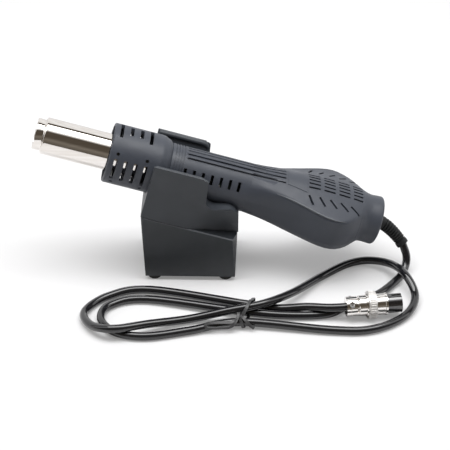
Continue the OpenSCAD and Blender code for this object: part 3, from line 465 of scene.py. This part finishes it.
def addBeads(skin, b):
    inwards, height = b["corner"]
    farFlank, farCorner = b["farOut"]
    start, growth = b["taper"]
    places = [b["from"] + b["step"] * k for k in range(int((b["to"] - b["from"]) / b["step"]) + 1)]
    beads = []
    for side in (-1, 1):
        line = []
        for s in places:
            flank, normal = onSkin(skin, s, side * farFlank, b["flankHeight"], -side, 0)
            half = abs(flank.y) / mm - inwards
            y, z = side * (half + farCorner), height + farCorner
            place, normal = onSkin(skin, s, y, z, -side, -1)
            line.append(place - normal * b["sunk"] * mm)
        fromEnd = [min(i, len(line) - 1 - i) for i in range(len(line))]
        radii = [b["radius"] * mm * min(1, start + growth * i) for i in fromEnd]
        beads.append(tubeAlong("crownBead", line, radii, b["sides"]))
    return beads


def addPad(skin, p):
    mesh = bmesh.new()
    grid = []
    edgeAcross, edgeAlong = p["edge"]
    shares = [k / (p["rows"] - 2) for k in range(1, p["rows"] - 2)]
    for i, along in enumerate([0, edgeAlong, *shares, 1 - edgeAlong, 1]):
        s = p["from"] + (p["to"] - p["from"]) * along
        half = p["halves"][0] + (p["halves"][1] - p["halves"][0]) * along
        row = []
        for j in range(p["columns"] + 1):
            inner = -1 + 2 * (j - 1) / (p["columns"] - 2)
            y = -half if j == 0 else half if j == p["columns"] else inner * (half - edgeAcross)
            place, normal = onSkin(skin, s, y, p["above"], 0, -1)
            onEdge = i in (0, p["rows"]) or j in (0, p["columns"])
            lift = -p["edgeSunk"] if onEdge else p["raised"]
            row.append(mesh.verts.new(place + normal * lift * mm))
        grid.append(row)
    for one, two in zip(grid, grid[1:]):
        for k in range(p["columns"]):
            mesh.faces.new((one[k], one[k + 1], two[k + 1], two[k]))
    pad = pieceFrom(mesh, "thumbPad")
    thick = pad.modifiers.new("thick", "SOLIDIFY")
    thick.thickness = p["thickness"] * mm
    thick.offset = -1
    applyAll(pad)
    smoothShade(pad, angle=30)
    return pad


crownBeads = addBeads(skins["upper_shell"], beadFacts)
thumbPad = addPad(skins["upper_shell"], padFacts)
print("crown beads and pad laid on")

# thick rounded lip inside the top of each cradle wall: its line as (x, z) in mm, and its radius
# at each of those points
lipFacts = {
    "line": [
        (-36.4, 93.6), (-36, 93.45), (-35.3, 93.25), (-25, 90.2), (-15, 87.3), (-7, 84.95),
        (-4.6, 84), (-3, 82.8), (-2.2, 81), (-2.5, 78), (-3.2, 71), (-3.6, 68), (-3.7, 67.2),
        (-3.75, 66.9)],
    "radii": [0.8, 1.5, 1.9, 1.9, 1.9, 1.9, 1.9, 1.9, 1.9, 1.9, 1.9, 1.9, 1.4, 0.7],
    "fromMiddle": 23.45,
    "sides": 32,
}


def addLips(c):
    lips = []
    for side in (-1, 1):
        line = [Vector((x, side * c["fromMiddle"], z)) * mm for x, z in c["line"]]
        lips.append(tubeAlong("wallLip", line, [r * mm for r in c["radii"]], c["sides"]))
    return lips


wallLips = addLips(lipFacts)
print("wall lips laid in")

# rear collar: it swells out of the tail in one soft curve, so its front edge follows the tail's
# section; lengths are in mm, and angles in degrees from the crown
collarFacts = {
    "front": {"place": 233, "half": 22.3, "crown": 18.05, "belly": 17.6, "square": 0.28},
    "slope": {"half": -1.2, "crown": -0.12, "belly": -0.08},    # how fast the tail narrows there
    "waist": {"place": 241, "radius": 17.02},
    "steps": 12,
    "tucked": (232.3, 22.5, 17.7, 17.3, 0.33),      # the hidden edge under the tail's skin
    "barrel": [(243.5, 17.15), (245.5, 17.27), (247.2, 17.3)],
    "end": {"place": 249.2, "bead": 2, "steps": 8, "radius": 17.3},
    "hollow": [(249.2, 5.2), (245.6, 5.2), (245.6, 15.5), (237.1, 15.5)],
    "rim": {"height": 12.4, "radius": 2.6, "from": 40, "to": 58},
    "bellyPower": 0.45,                             # below 1 the belly is fuller than a circle
    "sides": 96,
}


def tailPoint(facts, half, crown, belly, square, a):
    # a point of the tail's section at an angle from its crown, between a round and a boxy outline
    turn, side = (a, 1) if a <= 180 else (360 - a, -1)
    rim, e = facts["rim"]["height"], facts["rim"]["radius"]
    start, end = facts["rim"]["from"], facts["rim"]["to"]
    flat = (half - e) / half * turn / start
    if turn < start:
        boxy = half * flat, rim + (crown - rim) * (1 - flat * flat) ** 2
    elif turn < end:
        corner = radians(90 * (turn - start) / (end - start))
        boxy = half - e + e * sin(corner), rim - e + e * cos(corner)
    elif turn < 90:
        boxy = half, (rim - e) * (90 - turn) / (90 - end)
    else:
        low, power = radians(turn - 90), facts["bellyPower"]
        boxy = half * max(cos(low), 0) ** power, -belly * sin(low) ** power
    oval = half * sin(radians(turn)), (crown if turn < 90 else belly) * cos(radians(turn))
    y, z = (r + (b - r) * square for r, b in zip(oval, boxy))
    return side * y, z


def addCollar(c):
    front, waist, end = c["front"], c["waist"], c["end"]
    rows = [c["tucked"]]
    length = waist["place"] - front["place"]
    for i in range(c["steps"] + 1):
        # a smooth curve that starts with the tail's slope and ends level at the waist
        t = i / c["steps"]
        ending = 3 * t * t - 2 * t ** 3
        leaving = (t ** 3 - 2 * t * t + t) * length
        sizes = [(1 - ending) * front[k] + leaving * c["slope"][k] + ending * waist["radius"]
                 for k in ("half", "crown", "belly")]
        rows.append((front["place"] + length * t, *sizes, front["square"] * max(0, 1 - 2 * t)))
    turned = list(c["barrel"])
    for i in range(1, end["steps"] + 1):
        a = radians(90 * i / end["steps"])
        back, inwards = end["bead"] * (1 - sin(a)), end["bead"] * (1 - cos(a))
        turned.append((end["place"] - back, end["radius"] - inwards))
    rows += [(s, r, r, r, 0) for s, r in turned + c["hollow"]]
    mesh = bmesh.new()
    rings = []
    for s, *sizes in rows:
        angles = [360 * k / c["sides"] for k in range(c["sides"])]
        rings.append([mesh.verts.new(inHand(s, *tailPoint(c, *sizes, a))) for a in angles])
    bridgeRings(mesh, zip(rings, rings[1:] + rings[:1]))
    collar = pieceFrom(mesh, "rearCollar")
    smoothShade(collar, angle=60)
    standFor(collar, "end_collar")
    return collar


rearCollar = addCollar(collarFacts)
print("collar shaped")

# nozzle tube with a rolled lip and a rounded shoulder: radius and place of each corner, in mm
# from the tip
tubeFacts = {
    "outline": [
        (10.2, 0.5), (10.25, 0.2), (10.45, 0.03), (10.7, 0), (10.9, 0.12), (11, 0.4), (11, 4.9),
        (10.94, 5.1), (11.05, 5.4), (11.5, 5.75), (12.3, 6.1), (12.75, 6.4), (12.96, 6.85),
        (13, 7.4), (13, 89.5), (15, 89.5), (15, 90.5), (12.2, 90.5), (12.2, 7.2), (10.2, 6)],
    "sides": 128,
    "mergeWithin": 0.000001,
}


def addTube(t):
    # the outline is spun round the handpiece's axis
    corners = [inHand(s, radius, 0) for radius, s in t["outline"]]
    data = bpy.data.meshes.new("steelTube")
    data.from_pydata(corners, [(k, (k + 1) % len(corners)) for k in range(len(corners))], [])
    tube = bpy.data.objects.new("steelTube", data)
    bpy.context.scene.collection.objects.link(tube)
    makeActive(tube)
    bpy.ops.object.mode_set(mode="EDIT")
    bpy.ops.mesh.select_all(action="SELECT")
    axis = (inHand(1, 0, 0) - inHand(0, 0, 0)).normalized()
    bpy.ops.mesh.spin(steps=t["sides"], angle=2 * pi, center=handAxis["tip"], axis=axis)
    bpy.ops.mesh.select_all(action="SELECT")
    bpy.ops.mesh.remove_doubles(threshold=t["mergeWithin"])
    bpy.ops.mesh.normals_make_consistent(inside=False)
    bpy.ops.object.mode_set(mode="OBJECT")
    smoothShade(tube, angle=40)
    standFor(tube, "nozzle_tube")
    return tube


steelTube = addTube(tubeFacts)
print("tube spun")

# the cord's far end is the plug, whose pieces are gathered here; the cord's mesh is fixed in the
# model's frame
plugPieces = [skins[n] for n in ["plug_shell", "plug_clamp", "coupling_ring", "plug_insert"]]
plugPieces += [nodes[n] for n in ["plug_clamp_screws", "plug_contacts"]]
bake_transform(cordCable)


# material helpers
def startMaterial(name, colour, roughness, metallic=0.0):
    material = bpy.data.materials.new(name)
    material.use_nodes = True
    shader = material.node_tree.nodes["Principled BSDF"]
    shader.inputs["Base Color"].default_value = (*colour, 1)
    shader.inputs["Roughness"].default_value = roughness
    shader.inputs["Metallic"].default_value = metallic
    return material, shader


def addNode(material, kind, **settings):
    node = material.node_tree.nodes.new(kind)
    for key, value in settings.items():
        if hasattr(node, key):
            setattr(node, key, value)
        else:
            node.inputs[key.replace("_", " ")].default_value = value
    return node


def pattern(material, kind, scale, stretch=(1, 1, 1), turn=(0, 0, 0), **settings):
    # a texture on the piece's own coordinates; scale counts features per metre
    link = material.node_tree.links.new
    place = addNode(material, "ShaderNodeTexCoord")
    mapping = addNode(material, "ShaderNodeMapping", Scale=stretch, Rotation=turn)
    texture = addNode(material, "ShaderNodeTex" + kind, Scale=scale, **settings)
    link(place.outputs["Object"], mapping.inputs["Vector"])
    link(mapping.outputs["Vector"], texture.inputs["Vector"])
    return texture.outputs[0]


def spread(material, source, low, high):
    # a noise texture lies mostly between 0.3 and 0.7, and is stretched to the range asked for
    node = addNode(
        material, "ShaderNodeMapRange", From_Min=0.3, From_Max=0.7, To_Min=low, To_Max=high)
    material.node_tree.links.new(source, node.inputs["Value"])
    return node.outputs["Result"]


def tint(material, shader, factor, dark, light):
    mix = addNode(material, "ShaderNodeMix", data_type="RGBA")
    mix.inputs[6].default_value = (*dark, 1)
    mix.inputs[7].default_value = (*light, 1)
    material.node_tree.links.new(factor, mix.inputs[0])
    material.node_tree.links.new(mix.outputs[2], shader.inputs["Base Color"])


def relief(material, shader, height, depth, strength=1.0):
    bump = addNode(material, "ShaderNodeBump", Strength=strength, Distance=depth)
    material.node_tree.links.new(height, bump.inputs["Height"])
    material.node_tree.links.new(bump.outputs["Normal"], shader.inputs["Normal"])


def roughen(material, shader, source, low, high):
    material.node_tree.links.new(spread(material, source, low, high), shader.inputs["Roughness"])


def mouldedPlastic(name, dark, light, roughness, grain):
    # fine spark-eroded grain, with faint wide variation from moulding and handling
    material, shader = startMaterial(name, dark, roughness)
    wide = pattern(material, "Noise", 45, Detail=3)
    tint(material, shader, spread(material, wide, 0, 1), dark, light)
    handled = pattern(material, "Noise", 160, Detail=4)
    roughen(material, shader, handled, roughness - 0.05, roughness + 0.05)
    relief(material, shader, pattern(material, "Noise", 2600, Detail=2), grain)
    return material


def handlePlastic():
    return mouldedPlastic(
        "handlePlastic", (0.041, 0.047, 0.062), (0.048, 0.055, 0.071), 0.48, 0.00004)


def beadPaintedHighlight():
    # the bead along the crown: smoother, and lighter in colour to paint the highlight along it
    return mouldedPlastic(
        "beadPaintedHighlight", (0.085, 0.094, 0.108), (0.1, 0.11, 0.125), 0.34, 0.00002)


def standPaintedHighlight():
    # lighter plastic on the stand's rounded seam and rim edges: a painted highlight, like the crown
    # bead's
    return mouldedPlastic(
        "standPaintedHighlight", (0.08, 0.088, 0.1), (0.095, 0.104, 0.118), 0.36, 0.00002)


def standPlastic():
    return mouldedPlastic(
        "standPlastic", (0.033, 0.038, 0.046), (0.04, 0.046, 0.055), 0.46, 0.00004)


def basePaintedShade():
    # a darker copy of the stand's plastic for the base box: painted shade
    return mouldedPlastic(
        "basePaintedShade", (0.023, 0.027, 0.032), (0.029, 0.034, 0.04), 0.46, 0.00004)


def casePlastic():
    return mouldedPlastic(
        "casePlastic", (0.02, 0.02, 0.022), (0.028, 0.028, 0.03), 0.5, 0.00003)


def polishedTube():
    # drawn steel: faint marks along the tube, a little warm
    material, shader = startMaterial("polishedTube", (0.8, 0.77, 0.74), 0.06, 1.0)
    tilt = (0, -handAxis["tilt"], 0)
    along = pattern(material, "Noise", 500, stretch=(0.02, 1, 1), turn=tilt, Detail=4)
    tint(material, shader, spread(material, along, 0, 1), (0.74, 0.7, 0.66), (0.84, 0.81, 0.78))
    roughen(material, shader, along, 0.04, 0.08)
    return material


def plugChrome():
    material, shader = startMaterial("plugChrome", (0.83, 0.8, 0.77), 0.12, 1.0)
    worn = pattern(material, "Noise", 300, Detail=3)
    tint(material, shader, spread(material, worn, 0, 1), (0.8, 0.77, 0.74), (0.87, 0.85, 0.83))
    roughen(material, shader, worn, 0.1, 0.16)
    return material


def satinChrome():
    # the knurled ring: the same plating over a blasted surface
    material, shader = startMaterial("satinChrome", (0.74, 0.725, 0.705), 0.5, 1.0)
    roughen(material, shader, pattern(material, "Noise", 900, Detail=3), 0.44, 0.58)
    return material


def plainSteel():
    material, shader = startMaterial("plainSteel", (0.62, 0.61, 0.6), 0.3, 1.0)
    roughen(material, shader, pattern(material, "Noise", 1500, Detail=4), 0.22, 0.4)
    return material


def blackenedSteel():
    material, shader = startMaterial("blackenedSteel", (0.05, 0.05, 0.05), 0.4, 0.8)
    roughen(material, shader, pattern(material, "Noise", 1800, Detail=4), 0.3, 0.5)
    return material


def cordSheath():
    # extruded PVC: glossy, with faint draw lines
    material, shader = startMaterial("cordSheath", (0.011, 0.011, 0.013), 0.1)
    shader.inputs["Specular IOR Level"].default_value = 0.2
    shader.inputs["Coat Weight"].default_value = 1
    shader.inputs["Coat Roughness"].default_value = 0.02
    marks = pattern(material, "Noise", 120, Detail=2)
    roughen(material, shader, marks, 0.08, 0.13)
    return material


def tieSleeve():
    material, shader = startMaterial("tieSleeve", (0.045, 0.045, 0.047), 0.38)
    relief(material, shader, pattern(material, "Noise", 1200, Detail=3), 0.00006)
    return material


def bootRubber():
    material, shader = startMaterial("bootRubber", (0.016, 0.017, 0.018), 0.5)
    shader.inputs["Specular IOR Level"].default_value = 0.3
    dust = pattern(material, "Noise", 220, Detail=4)
    dusty = spread(material, dust, 0, 1)
    tint(material, shader, dusty, (0.012, 0.013, 0.014), (0.02, 0.021, 0.022))
    relief(material, shader, pattern(material, "Noise", 2200, Detail=2), 0.00003)
    return material


def footRubber():
    material, shader = startMaterial("footRubber", (0.012, 0.012, 0.012), 0.75)
    relief(material, shader, pattern(material, "Noise", 1600, Detail=3), 0.00005)
    return material


def insertPlastic():
    material, shader = startMaterial("insertPlastic", (0.008, 0.008, 0.009), 0.1)
    shader.inputs["Specular IOR Level"].default_value = 0.9
    shader.inputs["Coat Weight"].default_value = 1
    shader.inputs["Coat Roughness"].default_value = 0.02
    roughen(material, shader, pattern(material, "Noise", 300, Detail=2), 0.08, 0.14)
    return material


def goldPlate():
    material, shader = startMaterial("goldPlate", (0.85, 0.62, 0.28), 0.2, 1.0)
    roughen(material, shader, pattern(material, "Noise", 1500, Detail=3), 0.15, 0.3)
    return material


def micaSheet():
    material, shader = startMaterial("micaSheet", (0.55, 0.46, 0.3), 0.3)
    flakes = pattern(material, "Voronoi", 500)
    tint(material, shader, spread(material, flakes, 0, 1), (0.45, 0.37, 0.22), (0.66, 0.58, 0.4))
    relief(material, shader, flakes, 0.00005)
    return material


def firedCeramic():
    material, shader = startMaterial("firedCeramic", (0.8, 0.76, 0.68), 0.7)
    specks = pattern(material, "Noise", 1400, Detail=6)
    tint(material, shader, spread(material, specks, 0, 1), (0.7, 0.65, 0.56), (0.86, 0.83, 0.77))
    relief(material, shader, specks, 0.00006)
    return material


def oxidisedWire():
    material, shader = startMaterial("oxidisedWire", (0.16, 0.13, 0.11), 0.55, 0.8)
    scale = pattern(material, "Noise", 1800, Detail=4)
    tint(material, shader, spread(material, scale, 0, 1), (0.1, 0.08, 0.07), (0.26, 0.21, 0.17))
    relief(material, shader, scale, 0.00004)
    return material


def glassSleeving():
    # woven glass-fibre sleeving on the heater's leads
    material, shader = startMaterial("glassSleeving", (0.78, 0.74, 0.66), 0.8)
    weave = pattern(material, "Wave", 1200, turn=(0.6, 0.4, 0.7), Distortion=2.0)
    tint(material, shader, weave, (0.62, 0.58, 0.5), (0.85, 0.82, 0.75))
    relief(material, shader, weave, 0.0001)
    return material


def circuitBoard():
    material, shader = startMaterial("circuitBoard", (0.008, 0.05, 0.022), 0.5)
    tracks = pattern(material, "Brick", 90)
    tint(material, shader, tracks, (0.006, 0.035, 0.015), (0.012, 0.06, 0.026))
    relief(material, shader, tracks, 0.00004)
    return material


def whiteNylon():
    material, shader = startMaterial("whiteNylon", (0.82, 0.8, 0.74), 0.4)
    roughen(material, shader, pattern(material, "Noise", 600, Detail=3), 0.34, 0.48)
    return material


def reedGlass():
    material, shader = startMaterial("reedGlass", (0.25, 0.5, 0.36), 0.08)
    clouds = pattern(material, "Noise", 300)
    tint(material, shader, spread(material, clouds, 0, 1), (0.2, 0.42, 0.3), (0.3, 0.56, 0.42))
    return material


def redInsulation():
    material, shader = startMaterial("redInsulation", (0.5, 0.03, 0.025), 0.4)
    roughen(material, shader, pattern(material, "Noise", 900, Detail=2), 0.34, 0.46)
    return material


def copperWinding():
    material, shader = startMaterial("copperWinding", (0.6, 0.26, 0.12), 0.3, 1.0)
    turns = pattern(material, "Wave", 900, turn=(0, -handAxis["tilt"], 0), bands_direction="Z")
    tint(material, shader, turns, (0.42, 0.16, 0.07), (0.72, 0.34, 0.16))
    relief(material, shader, turns, 0.0002)
    return material


def sinteredBronze():
    material, shader = startMaterial("sinteredBronze", (0.55, 0.38, 0.18), 0.45, 1.0)
    pores = pattern(material, "Voronoi", 2600)
    tint(material, shader, spread(material, pores, 0, 1), (0.4, 0.26, 0.12), (0.62, 0.44, 0.22))
    relief(material, shader, pores, 0.00006)
    return material


def impellerPlastic():
    return mouldedPlastic(
        "impellerPlastic", (0.07, 0.072, 0.076), (0.09, 0.092, 0.098), 0.42, 0.00002)


def ferrite():
    material, shader = startMaterial("ferrite", (0.09, 0.09, 0.095), 0.6, 0.3)
    relief(material, shader, pattern(material, "Noise", 2400, Detail=5), 0.00005)
    return material


def rolledSteel():
    material, shader = startMaterial("rolledSteel", (0.3, 0.3, 0.31), 0.45, 0.9)
    scale = pattern(material, "Noise", 120, stretch=(1, 6, 1), Detail=5)
    tint(material, shader, spread(material, scale, 0, 1), (0.22, 0.22, 0.23), (0.4, 0.4, 0.41))
    relief(material, shader, scale, 0.0001)
    return material


# finish of every slot of the record
finishes = {
    "chrome_tube": polishedTube(), "mica": micaSheet(), "ceramic": firedCeramic(),
    "coil_wire": oxidisedWire(), "steel": plainSteel(), "lead_sleeve": glassSleeving(),
    "handle_plastic": handlePlastic(), "stand_plastic": standPlastic(),
    "dark_screw": blackenedSteel(), "board_green": circuitBoard(), "white_plastic": whiteNylon(),
    "glass_green": reedGlass(), "red_wire": redInsulation(), "black_plastic": casePlastic(),
    "bronze": sinteredBronze(), "copper": copperWinding(), "impeller_grey": impellerPlastic(),
    "magnet_grey": ferrite(), "rubber": bootRubber(), "cord_black": cordSheath(),
    "tie_plastic": tieSleeve(), "chrome_plug": plugChrome(), "insert_black": insertPlastic(),
    "gold": goldPlate(), "ballast_steel": rolledSteel(),
}
ownFinish = {"rubber_feet": footRubber(), "coupling_ring": satinChrome(), "base_box": basePaintedShade()}
edgeHighlightFinish = {"cradle": standPaintedHighlight(), "base_box": standPaintedHighlight()}


def paint(piece, material, edge=None):
    # rounded edges that were given slot 1 take the lighter edge finish, a painted highlight
    slots = [polygon.material_index for polygon in piece.data.polygons]
    piece.data.materials.clear()
    piece.data.materials.append(material)
    if edge:
        piece.data.materials.append(edge)
        for polygon, slot in zip(piece.data.polygons, slots):
            polygon.material_index = slot


for node, piece in nodes.items():
    paint(piece, ownFinish.get(node, finishes[slotOf[node]]))
for node, piece in skins.items():
    paint(piece, ownFinish.get(node, finishes[slotOf[node]]), edgeHighlightFinish.get(node))
# what is laid on a skin is painted first and then joined to it, so each part keeps its finish
# the crown beads take the lighter plastic, a painted highlight
beadHighlightFinish = beadPaintedHighlight()
for bead in crownBeads:
    paint(bead, beadHighlightFinish)
paint(thumbPad, finishes["handle_plastic"])
for lip in wallLips:
    paint(lip, finishes["stand_plastic"])
joinTo(skins["cradle"], wallLips)
joinTo(skins["upper_shell"], [*crownBeads, thumbPad])
paint(cordCable, finishes["cord_black"])
paint(twistTie, finishes["tie_plastic"])
paint(bootSleeve, finishes["rubber"])
paint(steelTube, finishes["chrome_tube"])
paint(rearCollar, finishes["handle_plastic"])
for node, piece in nodes.items():
    if node not in skins:
        smoothShade(piece)
print("finishes given:", len(finishes) + len(ownFinish))

# studio
studio = {
    "floorSize": 8.0,
    "floorFront": -0.5,             # the paper ends here, in front of the object
    "floorColour": (0.76, 0.76, 0.768),
    "floorGlow": 0.22,              # share of plain white that the camera sees in the floor
    "room": {
        "white": (1.0, 1.0, 1.0), "softbox": (1.5, 1.5, 1.5), "dark": (0.09, 0.074, 0.057),
        "warm": (0.21, 0.185, 0.155), "low": (0.13, 0.115, 0.095)},
    # what stands round the object, by its angle over the horizon on the camera's side
    "roomStops": [
        (-180, "white"), (-17, "white"), (-12, "low"), (-4, "low"), (13, "warm"), (28, "dark"),
        (60, "dark"), (72, "softbox"), (105, "softbox"), (107, "dark"), (121, "dark"),
        (123, "white")],
    "keyTurn": 90,                  # degrees over the horizon, on the camera's side
    "keyDistance": 1.0,
    "keyAside": 0.02,
    "keySize": (1.2, 0.5),
    "keyPower": 9.0,
}


def addFloor(s):
    deselectAll()
    middle = (0, s["floorFront"] + s["floorSize"] / 2, 0)
    bpy.ops.mesh.primitive_plane_add(size=s["floorSize"], location=middle)
    floor = bpy.context.object
    floor.name = "studioFloor"
    material, shader = startMaterial("floorPaper", s["floorColour"], 0.9)
    shader.inputs["Specular IOR Level"].default_value = 0.0
    ray = addNode(material, "ShaderNodeLightPath")
    share = addNode(material, "ShaderNodeMath", operation="MULTIPLY")
    share.inputs[1].default_value = s["floorGlow"]
    glow = addNode(material, "ShaderNodeEmission")
    mix = addNode(material, "ShaderNodeMixShader")
    link = material.node_tree.links.new
    link(ray.outputs["Is Camera Ray"], share.inputs[0])
    link(share.outputs[0], mix.inputs["Fac"])
    link(shader.outputs[0], mix.inputs[1])
    link(glow.outputs[0], mix.inputs[2])
    link(mix.outputs[0], material.node_tree.nodes["Material Output"].inputs["Surface"])
    floor.data.materials.append(material)


def addRoom(s):
    # the camera sees white; metal sees the room, which is dim in front, with a softbox above and
    # a white backdrop behind
    world = bpy.data.worlds.new("room")
    bpy.context.scene.world = world
    world.use_nodes = True
    tree = world.node_tree
    link = tree.links.new
    place = tree.nodes.new("ShaderNodeTexCoord")
    parts = tree.nodes.new("ShaderNodeSeparateXYZ")
    away = tree.nodes.new("ShaderNodeMath")
    away.operation = "MULTIPLY"
    away.inputs[1].default_value = -1           # angles are counted from the camera's side
    turn = tree.nodes.new("ShaderNodeMath")
    turn.operation = "ARCTAN2"
    share = tree.nodes.new("ShaderNodeMapRange")
    share.inputs["From Min"].default_value = -pi
    share.inputs["From Max"].default_value = pi
    ramp = tree.nodes.new("ShaderNodeValToRGB")
    ray = tree.nodes.new("ShaderNodeLightPath")
    mix = tree.nodes.new("ShaderNodeMix")
    mix.data_type = "RGBA"
    mix.inputs[7].default_value = (1, 1, 1, 1)
    link(place.outputs["Generated"], parts.inputs[0])
    link(parts.outputs["Y"], away.inputs[0])
    link(parts.outputs["Z"], turn.inputs[0])
    link(away.outputs[0], turn.inputs[1])
    link(turn.outputs[0], share.inputs["Value"])
    link(share.outputs[0], ramp.inputs[0])
    link(ramp.outputs[0], mix.inputs[6])
    link(ray.outputs["Is Camera Ray"], mix.inputs[0])
    link(mix.outputs[2], tree.nodes["Background"].inputs["Color"])
    elements = ramp.color_ramp.elements
    while len(elements) < len(s["roomStops"]):
        elements.new(0.5)
    for element, (angle, name) in zip(elements, s["roomStops"]):
        element.position = (angle + 180) / 360
        element.color = (*s["room"][name], 1)


def addKey(s):
    data = bpy.data.lights.new("overheadSoftbox", "AREA")
    data.shape = "RECTANGLE"
    data.size, data.size_y = s["keySize"]
    data.energy = s["keyPower"]
    lamp = bpy.data.objects.new("overheadSoftbox", data)
    bpy.context.scene.collection.objects.link(lamp)
    turn = radians(s["keyTurn"])
    lamp.location = (s["keyAside"], -cos(turn) * s["keyDistance"], sin(turn) * s["keyDistance"])
    lamp.rotation_euler = (pi / 2 - turn, 0, 0)


addFloor(studio)
addRoom(studio)
addKey(studio)
bpy.context.scene.view_settings.view_transform = "Standard"
print("studio lit")
